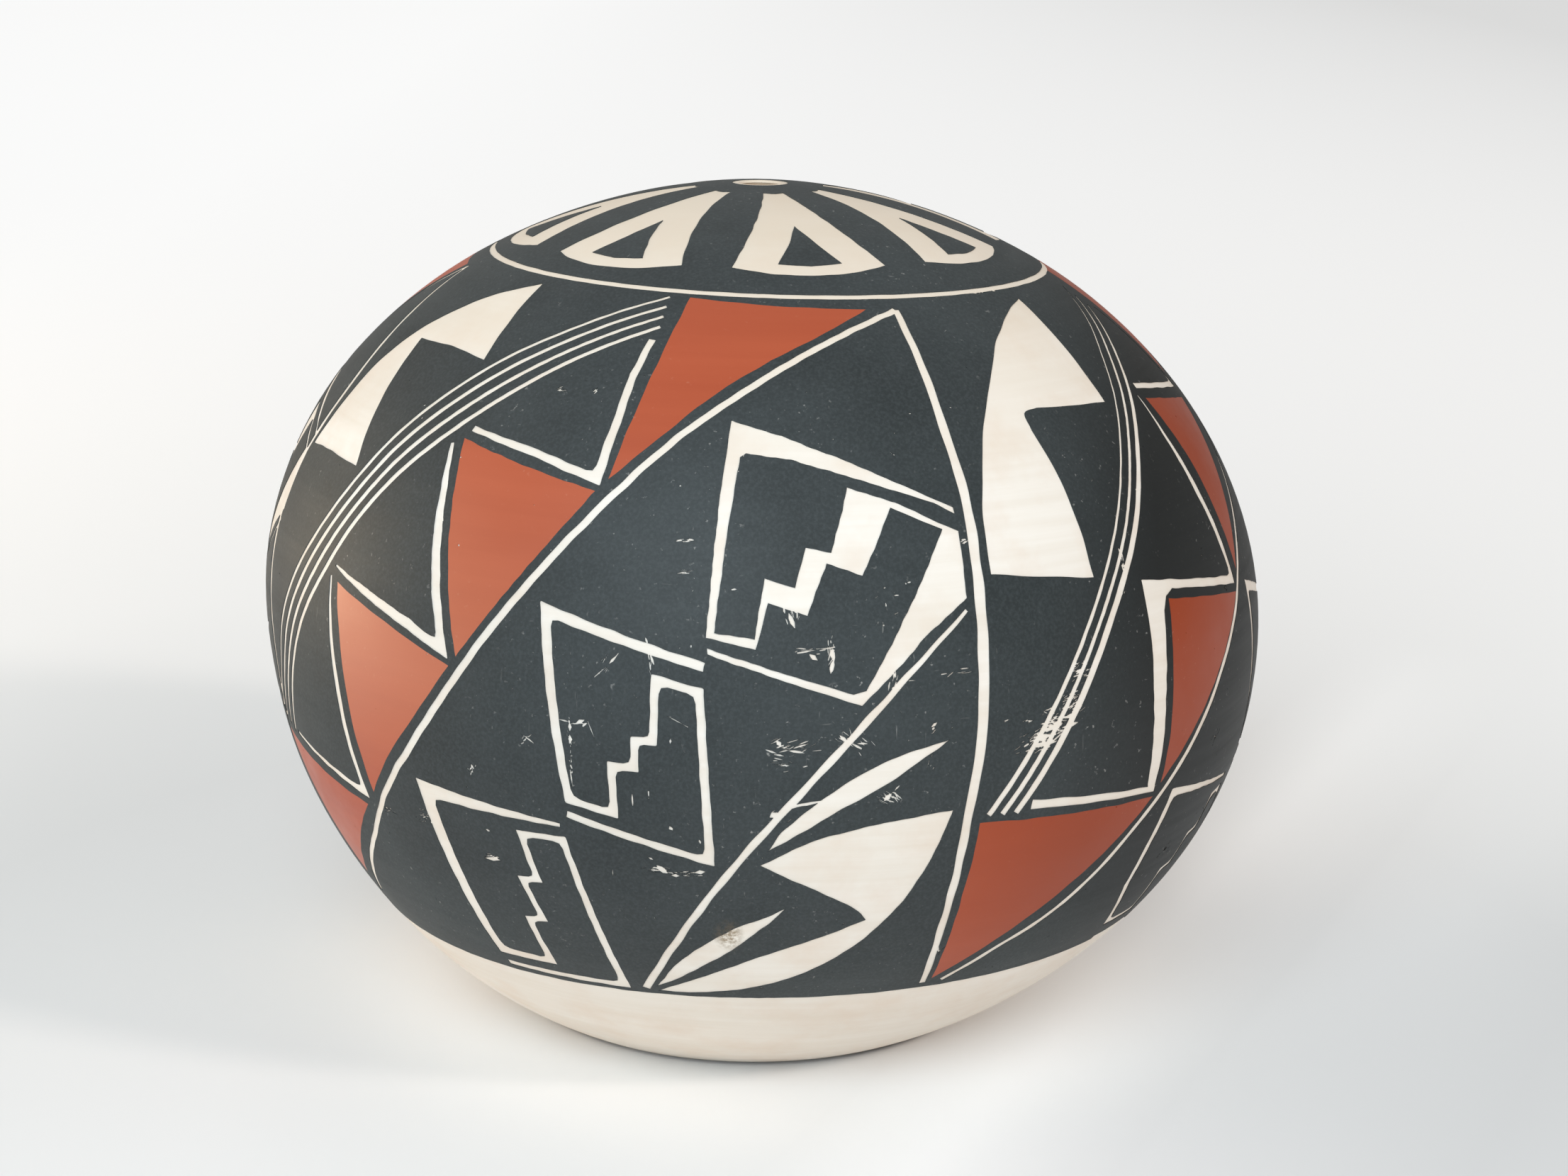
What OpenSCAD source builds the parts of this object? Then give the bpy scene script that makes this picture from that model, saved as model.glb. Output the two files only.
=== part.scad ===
// Pueblo seed pot: a round hand-coiled clay jar with a flat foot and one small seed hole.
// The origin is the centre of the foot, +Z runs up the axis, and sizes are millimetres.

/* [Profile] */
// Greatest radius of the finished pot
belly_r = 100; // [85:1:120]
// Radius of the flat foot
foot_r = 47; // [38:1:56]
// Profile radius of the wall between the foot and the belly
lower_arc_r = 100; // [88:1:130]
// Profile radius of the belly
belly_arc_r = 76; // [66:1:84]
// Profile radius of the shoulder
shoulder_arc_r = 98; // [88:1:104]
// Profile radius of the crown
crown_arc_r = 120; // [106:1:145]
// Lean of the wall where the lower wall meets the belly, in degrees from upright
lower_lean = -20; // [-28:1:-12]
// Lean of the wall where the belly meets the shoulder, in degrees from upright
shoulder_lean = 42; // [36:1:48]
// Lean of the wall where the shoulder meets the crown, in degrees from upright
crown_lean = 62; // [56:1:68]

/* [Clay] */
// Thickness of the clay wall
wall = 5; // [3.5:0.1:7]
// Thickness of the clay floor
floor_t = 7; // [5:0.5:10]
// Number of coils between the base dish and the mouth ring
coil_count = 13; // [9:1:18]
// Distance that each coil laps down inside the one below it
coil_lap = 4; // [1:0.5:6]
// Distance along the wall from the edge of the foot to the rim of the base dish
dish_reach = 22; // [16:1:30]
// Radius of the seed hole
mouth_r = 3.5; // [3:0.1:6]
// Distance along the wall from the edge of the seed hole to the outside of the mouth ring
mouth_ring_w = 12; // [9:0.5:18]

/* [Coats] */
// Thickness of the white slip
slip_t = 0.5; // [0.3:0.05:1]
// Height of the lower edge of the slip above the surface that the pot stands on
slip_hem = 0.6; // [0.2:0.1:3]
// Thickness of the black paint
paint_t = 0.2; // [0.1:0.05:0.5]
// Clearance between the slip and the paint on it
paint_gap = 0.05; // [0.02:0.01:0.1]
// Distance along the wall from the edge of the foot to the lower edge of the painted band
band_low = 43.5; // [20:0.5:70]
// Distance along the wall from the edge of the seed hole to the upper edge of the painted band
band_high = 3; // [1:0.5:60]

/* [Hidden] */
$fn = 180;
// How far cutting outlines run past what they cut
past = 4;
// A length that is larger than the pot
huge = 4 * belly_r;
// The clay lies under the slip
clay_skin = slip_t;
// Each wider arc of the profile starts this far inside its neighbour, so that the two cross cleanly
join_ease = 0.001;

// The outer profile is four arcs, each tangent to the next, from the foot to the mouth.
// A direction is an angle up from level in the plane of radius and height.
function dir(a) = [cos(a), sin(a)];

// Height of the greatest radius, which puts the edge of the foot at height 0
lower_c_r = belly_r - belly_arc_r + (belly_arc_r - lower_arc_r) * cos(lower_lean);
foot_lean = -acos((foot_r - lower_c_r) / lower_arc_r);
belly_z = -lower_arc_r * sin(foot_lean) - (belly_arc_r - lower_arc_r) * sin(lower_lean);

belly_c = [belly_r - belly_arc_r, belly_z];
lower_c = belly_c + (belly_arc_r - lower_arc_r) * dir(lower_lean);
shoulder_c = belly_c + (belly_arc_r - shoulder_arc_r) * dir(shoulder_lean);
crown_c = shoulder_c + (shoulder_arc_r - crown_arc_r) * dir(crown_lean);
mouth_lean = acos((mouth_r - crown_c[0]) / crown_arc_r);

// Each arc holds its centre, its radius, and the lean of the wall at its start and its end
ARCS = [
    [lower_c, lower_arc_r, foot_lean, lower_lean],
    [belly_c, belly_arc_r, lower_lean, shoulder_lean],
    [shoulder_c, shoulder_arc_r, shoulder_lean, crown_lean],
    [crown_c, crown_arc_r, crown_lean, mouth_lean]
];
last_arc = len(ARCS) - 1;

// Length along the outer profile, from the edge of the foot to the start of an arc
function arc_length(i) = ARCS[i][1] * (ARCS[i][3] - ARCS[i][2]) * PI / 180;
function arc_start(i) = i == 0 ? 0 : arc_start(i - 1) + arc_length(i - 1);
wall_length = arc_start(last_arc) + arc_length(last_arc);

// The arc that holds the place s along the profile, and a point there at a depth below the surface
function arc_at(s, i = 0) = i == last_arc || s < arc_start(i + 1) ? i : arc_at(s, i + 1);
function lean_at(s, i) = ARCS[i][2] + (s - arc_start(i)) / ARCS[i][1] * 180 / PI;
function wall_point(s, depth) =
    let (i = arc_at(s))
    ARCS[i][0] + (ARCS[i][1] - depth) * dir(lean_at(s, i));

// Seams run from the dish to the mouth ring at equal steps along the wall.
// A seam slants down through the wall, so that each coil laps inside the one below.
first_seam = dish_reach;
last_seam = wall_length - mouth_ring_w;
function seam_at(k) = first_seam + (last_seam - first_seam) * k / coil_count;
function seam_out(k) = wall_point(seam_at(k), clay_skin);
function seam_in(k) = wall_point(seam_at(k) - coil_lap, clay_skin + wall);
function seam_way(k) = (seam_out(k) - seam_in(k)) / norm(seam_out(k) - seam_in(k));
function seam_past_out(k) = seam_out(k) + past * seam_way(k);
function seam_past_in(k) = seam_in(k) - past * seam_way(k);

// Heights on the axis and at the seed hole, as an outside surface and as the clay under it
function crown_z(r, depth) = crown_c[1] + sqrt(pow(crown_arc_r - depth, 2) - pow(r - crown_c[0], 2));
mouth_top = crown_z(mouth_r, clay_skin);
mouth_under = crown_z(mouth_r, clay_skin + wall);
pot_h = crown_z(mouth_r + slip_t, 0);

function coil_name(k) = str("coil_", k < 10 ? "0" : "", k);

// The side of the line from an arc's centre at a lean that lies a quarter turn from it
module side_of(centre, lean, quarter_turn) {
    way = huge * dir(lean);
    aside = huge * dir(lean + quarter_turn);
    polygon([centre - way, centre + way, centre + way + aside, centre - way + aside]);
}

// Everything inside the profile at a depth below the surface: the disc of the belly,
// and the wider discs that touch it from inside, each beyond its own join
module inside_profile(depth) {
    translate(belly_c)
        circle(belly_arc_r - depth);
    intersection() {
        translate(lower_c)
            circle(lower_arc_r - depth - join_ease);
        side_of(lower_c, lower_lean, -90);
    }
    intersection() {
        translate(shoulder_c)
            circle(shoulder_arc_r - depth - join_ease);
        side_of(shoulder_c, shoulder_lean, 90);
    }
    intersection() {
        translate(crown_c)
            circle(crown_arc_r - depth - 2 * join_ease);
        side_of(crown_c, crown_lean, 90);
    }
}

// A layer of the wall in section, from a depth below the outer profile inwards
module layer(depth, thickness) {
    difference() {
        inside_profile(depth);
        inside_profile(depth + thickness);
    }
}

// The half plane of positive radius between two heights
module height_band(low, high, inside = 0) {
    translate([inside, low])
        square([huge, high - low]);
}

// Base dish: the pat of clay pressed into a shallow mould, with a flat foot and floor
module base_dish() {
    color("#cdb79c")
        rotate_extrude()
            difference() {
                intersection() {
                    translate(lower_c)
                        circle(lower_arc_r - clay_skin - join_ease);
                    polygon([
                        [0, 0],
                        [huge, 0],
                        seam_past_out(0),
                        seam_past_in(0),
                        [0, seam_past_in(0)[1]]
                    ]);
                }
                intersection() {
                    translate(lower_c)
                        circle(lower_arc_r - clay_skin - wall - join_ease);
                    height_band(floor_t, huge);
                }
            }
}

// Coil: one rope of clay laid round the wall and pinched to the coil below
module coil(k) {
    color(k % 2 == 0 ? "#d3bfa6" : "#c8b197")
        rotate_extrude()
            intersection() {
                layer(clay_skin, wall);
                polygon([
                    seam_past_in(k - 1),
                    seam_past_out(k - 1),
                    seam_past_out(k),
                    seam_past_in(k)
                ]);
            }
}

// Mouth ring: the closing coil, with the seed hole through it
module mouth_ring() {
    color("#cdb79c")
        rotate_extrude()
            intersection() {
                layer(clay_skin, wall);
                polygon([
                    seam_past_in(coil_count),
                    seam_past_out(coil_count),
                    [mouth_r, pot_h + past],
                    [mouth_r, mouth_under - wall]
                ]);
            }
}

// White slip: the polished coat of fine clay over the outside, from the foot to the seed hole
module white_slip() {
    color("#ded7ca")
        rotate_extrude()
            intersection() {
                layer(0, slip_t);
                height_band(slip_hem, huge, mouth_r + slip_t);
            }
}

// Black paint: the coat of mineral paint on the slip, which carries the design
module black_paint() {
    low_s = band_low;
    high_s = wall_length - band_high;
    low_out = wall_point(low_s, -past);
    high_out = wall_point(high_s, -past);
    color("#3f4648")
        rotate_extrude()
            intersection() {
                layer(-paint_gap - paint_t, paint_t);
                polygon([
                    wall_point(low_s, past),
                    low_out,
                    [huge, low_out[1]],
                    [huge, huge],
                    [high_out[0], huge],
                    high_out,
                    wall_point(high_s, past)
                ]);
            }
}

base_dish();
for (k = [1:coil_count])
    coil(k);
mouth_ring();
white_slip();
black_paint();
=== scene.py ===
import math

import bpy
import numpy as np
from mathutils import Matrix, Vector
from mathutils.geometry import delaunay_2d_cdt


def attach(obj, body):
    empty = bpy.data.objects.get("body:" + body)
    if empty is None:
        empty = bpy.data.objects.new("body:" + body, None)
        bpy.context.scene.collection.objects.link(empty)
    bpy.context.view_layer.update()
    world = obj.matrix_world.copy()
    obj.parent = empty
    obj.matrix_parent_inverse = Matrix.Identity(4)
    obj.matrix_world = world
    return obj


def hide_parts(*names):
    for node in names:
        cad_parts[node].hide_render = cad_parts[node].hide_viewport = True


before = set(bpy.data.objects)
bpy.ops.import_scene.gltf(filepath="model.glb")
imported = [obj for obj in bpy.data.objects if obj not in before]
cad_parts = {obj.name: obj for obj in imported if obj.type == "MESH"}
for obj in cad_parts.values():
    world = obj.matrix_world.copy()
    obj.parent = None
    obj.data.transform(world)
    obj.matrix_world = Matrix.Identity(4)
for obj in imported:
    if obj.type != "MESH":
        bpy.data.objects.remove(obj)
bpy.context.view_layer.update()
MM = 0.001

# Camera: a short telephoto a little above the belly of the pot, tilted one degree in the hand.
# Its place, aim and lens are those that match the pot's outline and its two painted rings.
EYE = Vector((0.0, -549.9, 226.8)) * MM
AIM = Vector((6.1, 0.0, 83.9)) * MM
LENS_MM = 63.7
SENSOR_MM = 36.0
ROLL = math.radians(1.0)

ahead = (AIM - EYE).normalized()
level = ahead.cross(Vector((0.0, 0.0, 1.0))).normalized()
upright = level.cross(ahead)
across = math.cos(ROLL) * level + math.sin(ROLL) * upright
above = math.cos(ROLL) * upright - math.sin(ROLL) * level
camera_data = bpy.data.cameras.new("camera")
camera_data.lens = LENS_MM
camera_data.sensor_width = SENSOR_MM
camera = bpy.data.objects.new("camera", camera_data)
camera.matrix_world = Matrix.Translation(EYE) @ Matrix((across, above, -ahead)).transposed().to_4x4()
bpy.context.scene.collection.objects.link(camera)
bpy.context.scene.camera = camera

# Clay body: a pat of clay pressed into a dish, thirteen coils and a mouth ring, pinched together,
# scraped thin and fired. A pot built without a wheel sways a little from side to side.
POT_H = 167.0
SWAY_WIDE = 1.9
SWAY_BENT = 1.1
CLAY_NODES = ["base_dish", *[f"coil_{k:02d}" for k in range(1, 14)], "mouth_ring"]
CLAY_DARK = (0.36, 0.26, 0.18, 1.0)
CLAY_PALE = (0.55, 0.44, 0.33, 1.0)


def sway(z):
    """Shift of the wall to the right: one sine wave and one of half its length up the height of the pot."""
    turn = np.pi * np.clip(z / POT_H, 0.0, 1.0)
    return SWAY_WIDE * np.sin(turn) + SWAY_BENT * np.sin(2.0 * turn)


def mesh_piece(name, points, faces, crease=math.radians(40.0)):
    """A smooth mesh of points in millimetres, with its edges kept sharp where faces meet past the crease."""
    mesh = bpy.data.meshes.new(name)
    mesh.from_pydata((points * MM).tolist(), [], faces.tolist())
    mesh.polygons.foreach_set("use_smooth", np.ones(len(faces), bool))
    mesh.set_sharp_from_angle(angle=crease)
    mesh.update()
    piece = bpy.data.objects.new(name, mesh)
    bpy.context.scene.collection.objects.link(piece)
    return piece


def node_arrays(node):
    """The corner points of a CAD node in millimetres, each once, and its triangles."""
    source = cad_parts[node].data
    corners = np.empty(len(source.vertices) * 3, np.float32)
    source.vertices.foreach_get("co", corners)
    loops = np.empty(len(source.loops), np.int32)
    source.loops.foreach_get("vertex_index", loops)
    merged, index = np.unique(np.round(corners.reshape(-1, 3) / MM, 4), axis=0, return_inverse=True)
    triangles = index.reshape(-1)[loops].reshape(-1, 3)
    whole = (triangles != np.roll(triangles, 1, axis=1)).all(axis=1)
    return merged.astype(float), triangles[whole]


def feed(tree, socket, value):
    """Gives an input its value: a link from another socket, or else a plain number or colour."""
    if isinstance(value, bpy.types.NodeSocket):
        tree.links.new(value, socket)
    else:
        socket.default_value = value


def dress(tree, node, **inputs):
    """Gives a shader node its named inputs; an underscore stands for a space."""
    for socket, value in inputs.items():
        feed(tree, node.inputs[socket.replace("_", " ")], value)


def add(tree, kind, **inputs):
    """A new shader node with its inputs; its outputs come back."""
    made = tree.nodes.new(kind)
    dress(tree, made, **inputs)
    return made.outputs


def noise(tree, where, scale, detail=3.0, roughness=0.5):
    """A noise texture at a place, from 0 to 1."""
    made = add(tree, "ShaderNodeTexNoise", Vector=where, Scale=scale, Detail=detail, Roughness=roughness)
    return made["Fac"]


def ramp(tree, value, low, high, to_low=0.0, to_high=1.0):
    """A value between two limits, spread to another range and held there."""
    made = add(
        tree, "ShaderNodeMapRange", Value=value, From_Min=low, From_Max=high, To_Min=to_low, To_Max=to_high
    )
    return made["Result"]


def blend(tree, share, first, second):
    """Two colours, plain or from a socket, mixed by a share."""
    made = tree.nodes.new("ShaderNodeMix")
    made.data_type = "RGBA"
    for socket, value in ((0, share), (6, first), (7, second)):
        feed(tree, made.inputs[socket], value)
    return made.outputs[2]


def relief(tree, height, strength, distance):
    """Fine relief for a shader, from a height that varies over the surface."""
    return add(tree, "ShaderNodeBump", Height=height, Strength=strength, Distance=distance)["Normal"]


def material(name):
    """A new material with its tree, its shader and the place on the piece."""
    made = bpy.data.materials.new(name)
    made.use_nodes = True
    tree = made.node_tree
    return made, tree, tree.nodes["Principled BSDF"], add(tree, "ShaderNodeTexCoord")["Object"]


clay, clay_tree, clay_shader, clay_place = material("fired_clay")
clay_mottle = noise(clay_tree, clay_place, scale=60.0, detail=6.0, roughness=0.6)
clay_grit = noise(clay_tree, clay_place, scale=1400.0, detail=2.0)
dress(
    clay_tree, clay_shader, Roughness=0.9,
    Base_Color=blend(clay_tree, ramp(clay_tree, clay_mottle, 0.3, 0.7), CLAY_DARK, CLAY_PALE),
    Normal=relief(clay_tree, clay_grit, strength=0.5, distance=0.0004),
)

for node in CLAY_NODES:
    clay_points, clay_faces = node_arrays(node)
    clay_points[:, 0] += sway(clay_points[:, 2])
    clay_piece = mesh_piece("clay_" + node, clay_points, clay_faces)
    clay_piece.data.materials.append(clay)
    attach(clay_piece, "root")
    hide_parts(node)

# White slip: fine white clay brushed over the outside in several coats and rubbed with a stone.
# It starts just above the foot, covers the crown and rounds over the edge of the seed hole.
FOOT_R = 47.0
BELLY_R = 100.0
MOUTH_R = 3.5
ARC_R = np.array([100.0, 76.0, 98.0, 120.0])
JOIN_LEAN = np.radians([-20.0, 42.0, 62.0])
SLIP_T = 0.45
SLIP_HEM = 1.3
LUMP = 0.16
LUMP_WAVES = ((2.0, 0.7, 9.0, 1.0), (5.0, 1.9, 6.5, 0.6))
LOW_BULGE = 1.0
LOW_BULGE_Z = 34.0
LOW_BULGE_REACH = 20.0
LOW_BULGE_SIDE = 2.0
SLIP_TURNS = 288
SLIP_ROWS = 150
SLIP_UNDER_ROWS = 37
LIP_ROWS = 8
SLIP_CREAM = (0.82, 0.765, 0.69, 1.0)
SLIP_BRIGHT = (0.90, 0.865, 0.815, 1.0)
SLIP_PEACH = (0.77, 0.64, 0.53, 1.0)
# The tan of the crown is painted shade over the top of the pot
SLIP_CROWN_SHADE = (0.74, 0.63, 0.50, 1.0)
SLIP_CROWN_SHADE_Z = (0.12, 0.162)
SLIP_CROWN_SHADE_SHARE = 0.7
SLIP_CLOUDS = 0.45


def direction(lean):
    """The way straight out of the wall, as radius and height, where it leans back from upright."""
    return np.stack((np.cos(lean), np.sin(lean)), axis=-1)


# The outside is four arcs of a circle, each starting where and as the last one ends
lower_c_r = BELLY_R - ARC_R[1] + (ARC_R[1] - ARC_R[0]) * math.cos(JOIN_LEAN[0])
foot_lean = -math.acos((FOOT_R - lower_c_r) / ARC_R[0])
belly_z = -ARC_R[0] * math.sin(foot_lean) - (ARC_R[1] - ARC_R[0]) * math.sin(JOIN_LEAN[0])
belly_c = np.array([BELLY_R - ARC_R[1], belly_z])
lower_c = belly_c + (ARC_R[1] - ARC_R[0]) * direction(JOIN_LEAN[0])
shoulder_c = belly_c + (ARC_R[1] - ARC_R[2]) * direction(JOIN_LEAN[1])
crown_c = shoulder_c + (ARC_R[2] - ARC_R[3]) * direction(JOIN_LEAN[2])
mouth_lean = math.acos((MOUTH_R - crown_c[0]) / ARC_R[3])
ARC_C = np.stack((lower_c, belly_c, shoulder_c, crown_c))
ARC_LEAN = np.concatenate(([foot_lean], JOIN_LEAN, [mouth_lean]))
ARC_START = np.concatenate(([0.0], np.cumsum(ARC_R * np.diff(ARC_LEAN))))
WALL_LENGTH = ARC_START[-1]


def wall_at(along):
    """Radius and height of the outside at a distance along it from the foot, and the way out of it."""
    arc = np.clip(np.searchsorted(ARC_START, along, side="right") - 1, 0, len(ARC_R) - 1)
    out = direction(ARC_LEAN[arc] + (along - ARC_START[arc]) / ARC_R[arc])
    return ARC_C[arc] + ARC_R[arc][..., None] * out, out


def hand_shape(turn, z):
    """What the hand adds to the radius: low waves round and up the wall, and a fuller right side low down.

    A wave is a sine round the pot times a sine up the wall. It holds how many go round, where they start,
    the height of one radian and its share. The fuller side is a bell up the wall times an exponential of
    the sine round it, which is greatest at the right.
    """
    rise = np.sin(np.pi * np.clip(z / POT_H, 0.0, 1.0))
    waves = sum(
        share * np.sin(count * turn + start) * np.sin(z / length)
        for count, start, length, share in LUMP_WAVES
    )
    side = np.exp(LOW_BULGE_SIDE * (np.sin(turn) - 1.0))
    low = np.exp(-(((z - LOW_BULGE_Z) / LOW_BULGE_REACH) ** 2))
    return LUMP * rise * waves + LOW_BULGE * side * low


def on_pot(degrees, along, lift):
    """Points on the pot, from degrees round it, a distance along the wall and a height off the wall.

    Degrees run from the front to the right. The hand's shape is added to the radius of the arcs, and the
    sway moves each ring sideways.
    """
    degrees, along, lift = np.broadcast_arrays(degrees, along, lift)
    turn = np.radians(degrees)
    ring, out = wall_at(along)
    z = ring[..., 1] + lift * out[..., 1]
    radius = ring[..., 0] + lift * out[..., 0] + hand_shape(turn, z)
    return np.stack((sway(z) + radius * np.sin(turn), -radius * np.cos(turn), z), axis=-1)


def grid_faces(rows, turns):
    """Quads of a grid that closes round both ways, facing out where rows run upwards."""
    row, turn = np.meshgrid(np.arange(rows), np.arange(turns), indexing="ij")
    row_next = (row + 1) % rows
    turn_next = (turn + 1) % turns
    corners = (
        row * turns + turn,
        row * turns + turn_next,
        row_next * turns + turn_next,
        row_next * turns + turn,
    )
    return np.stack(corners, axis=-1).reshape(-1, 4)


# The coat in section: up the outside, round the edge of the hole, and back down against the clay
lip_turn = np.linspace(0.0, np.pi / 2.0, LIP_ROWS)
lip_end = WALL_LENGTH - 2.0 * SLIP_T
slip_along = np.concatenate((
    np.linspace(SLIP_HEM, lip_end, SLIP_ROWS, endpoint=False),
    lip_end + SLIP_T * np.sin(lip_turn),
    np.linspace(lip_end, SLIP_HEM + SLIP_T, SLIP_UNDER_ROWS),
))
slip_lift = np.concatenate((
    np.zeros(SLIP_ROWS),
    SLIP_T * (np.cos(lip_turn) - 1.0),
    np.full(SLIP_UNDER_ROWS, -SLIP_T),
))
slip_degrees = np.arange(SLIP_TURNS) * 360.0 / SLIP_TURNS
slip_points = on_pot(slip_degrees[None, :], slip_along[:, None], slip_lift[:, None])
slip_coat = mesh_piece("slip_coat", slip_points.reshape(-1, 3), grid_faces(len(slip_along), SLIP_TURNS))


def group(name, inputs, outputs):
    """A new node group: number inputs with their values, number outputs and the place on the piece."""
    tree = bpy.data.node_groups.new(name, "ShaderNodeTree")
    for socket, value in inputs.items():
        made = tree.interface.new_socket(socket, in_out="INPUT", socket_type="NodeSocketFloat")
        made.default_value = value
    for socket in outputs:
        tree.interface.new_socket(socket, in_out="OUTPUT", socket_type="NodeSocketFloat")
    place = add(tree, "ShaderNodeTexCoord")["Object"]
    return tree, tree.nodes.new("NodeGroupInput").outputs, tree.nodes.new("NodeGroupOutput"), place


def placed(tree, shared, **inputs):
    """A node group in a material, with its own values; its outputs come back."""
    made = tree.nodes.new("ShaderNodeGroup")
    made.node_tree = shared
    dress(tree, made, **inputs)
    return made.outputs


def stretched(tree, where, scale, turn=(0.0, 0.0, 0.0), shift=(0.0, 0.0, 0.0)):
    """A place scaled by its own amount along each axis, then turned, then shifted."""
    return add(tree, "ShaderNodeMapping", Vector=where, Scale=scale, Rotation=turn, Location=shift)["Vector"]


def between(tree, share, first, second):
    """A number that goes from a first to a second one by a share."""
    made = tree.nodes.new("ShaderNodeMix")
    for socket, value in ((0, share), (2, first), (3, second)):
        feed(tree, made.inputs[socket], value)
    return made.outputs[0]


def sum_of(tree, kind, *values):
    """A Math node of one kind over sockets and plain numbers."""
    made = tree.nodes.new("ShaderNodeMath")
    made.operation = kind
    for socket, value in zip(made.inputs, values):
        feed(tree, socket, value)
    return made.outputs[0]


def product(tree, first, *others):
    """Sockets and plain numbers multiplied together."""
    for value in others:
        first = sum_of(tree, "MULTIPLY", first, value)
    return first


def axes(tree, where):
    """The X, Y and Z of a place, by name."""
    return add(tree, "ShaderNodeSeparateXYZ", Vector=where)


def length_of(tree, where):
    """The distance of a place from the origin."""
    made = tree.nodes.new("ShaderNodeVectorMath")
    made.operation = "LENGTH"
    feed(tree, made.inputs[0], where)
    return made.outputs["Value"]


# Brush streaks run level round the pot, fine ones within broad ones
FINE_STREAKS = (14.0, 14.0, 520.0)
BROAD_STREAKS = (9.0, 9.0, 130.0)
streaks, streaks_in, streaks_out, streaks_place = group("brush_streaks", {"Broad": 0.6}, ("Streak", "Patch"))
fine_streak = noise(streaks, stretched(streaks, streaks_place, FINE_STREAKS), 1.0, detail=4.0, roughness=0.6)
broad_streak = noise(streaks, stretched(streaks, streaks_place, BROAD_STREAKS), 1.0)
dress(
    streaks, streaks_out,
    Streak=between(streaks, streaks_in["Broad"], fine_streak, broad_streak),
    Patch=noise(streaks, streaks_place, scale=75.0, detail=4.0, roughness=0.6),
)

# A brown drip has dried on the front, on slip and paint alike: a ball drawn out up the wall, broken by noise
STAIN_AT = on_pot(-3.9, 63.0, 0.0) * MM
STAIN_STRETCH = np.array([330.0, 330.0, 170.0])
STAIN_BROWN = (0.27, 0.19, 0.10, 1.0)
stain, stain_in, stain_out, stain_place = group("stain", {"Amount": 0.8}, ("Mask",))
stain_away = stretched(stain, stain_place, STAIN_STRETCH, shift=-STAIN_AT * STAIN_STRETCH)
stain_ball = ramp(stain, length_of(stain, stain_away), 1.0, 0.4)
stain_spots = ramp(stain, noise(stain, stain_place, scale=700.0, detail=4.0, roughness=0.7), 0.40, 0.56)
dress(stain, stain_out, Mask=product(stain, stain_ball, stain_spots, stain_in["Amount"]))

slip, slip_tree, slip_shader, slip_place = material("white_slip")
slip_brush = placed(slip_tree, streaks, Broad=0.55)
slip_drip = placed(slip_tree, stain, Amount=0.85)
slip_base = blend(slip_tree, ramp(slip_tree, slip_brush["Streak"], 0.36, 0.64), SLIP_CREAM, SLIP_BRIGHT)
slip_clouds = ramp(slip_tree, slip_brush["Patch"], 0.44, 0.70, 0.0, SLIP_CLOUDS)
slip_clouded = blend(slip_tree, slip_clouds, slip_base, SLIP_PEACH)
# Painted shade: the slip is darkened to a tan towards the crown
slip_crown_shade = ramp(slip_tree, axes(slip_tree, slip_place)["Z"], *SLIP_CROWN_SHADE_Z, 0.0, SLIP_CROWN_SHADE_SHARE)
slip_crown_shaded = blend(slip_tree, slip_crown_shade, slip_clouded, SLIP_CROWN_SHADE)
dress(
    slip_tree, slip_shader,
    Base_Color=blend(slip_tree, slip_drip["Mask"], slip_crown_shaded, STAIN_BROWN),
    Roughness=ramp(slip_tree, slip_brush["Streak"], 0.3, 0.7, 0.42, 0.6),
    Normal=relief(slip_tree, slip_brush["Streak"], strength=0.25, distance=0.0003),
)
slip_coat.data.materials.append(slip)
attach(slip_coat, "root")
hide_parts("white_slip")

# Painted design: black mineral paint and red clay paint, laid on the slip with a chewed yucca brush.
# White lines and shapes are slip that the brush left bare. The design is drawn in degrees round the
# pot and millimetres along the wall, and four repeats go round, drawn in a little at the back.
BARE, BLACK, RED = range(3)
REPEATS = 4
REPEAT = 95.0
ROUND = REPEATS * REPEAT
BACK_EASE = 3.4
EDGE_STEP = 0.9
SHAKE = 0.05
FINE_SHAKE = SHAKE / 2.0
SHAKE_WAVES = 4
SHAKE_LENGTHS = (2.6, 12.0)
SHAKE_SHARE = 0.6
INNER_ROUND = 1.5
OUTER_ROUND = 0.3
ROUND_SHARE = 0.3
LOW_EDGE = 43.7
LOW_WAVE = 1.2
LOW_WAVE_START = 0.35
rng = np.random.default_rng(11)
marks = []


def degree_mm(along):
    """Length of one degree round the pot, at a distance along the wall."""
    return np.radians(1.0) * wall_at(np.asarray(along, float))[0][..., 0]


def stepped(points):
    """Straight runs from point to point, in steps of the brush."""
    p = np.array(points, float)
    runs = []
    for start, end in zip(p[:-1], p[1:]):
        size = np.hypot((end[0] - start[0]) * degree_mm((start[1] + end[1]) / 2.0), end[1] - start[1])
        steps = max(1, round(size / EDGE_STEP))
        runs.append(start + (np.arange(steps) / steps)[:, None] * (end - start))
    return np.concatenate((*runs, p[-1:]))


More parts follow.
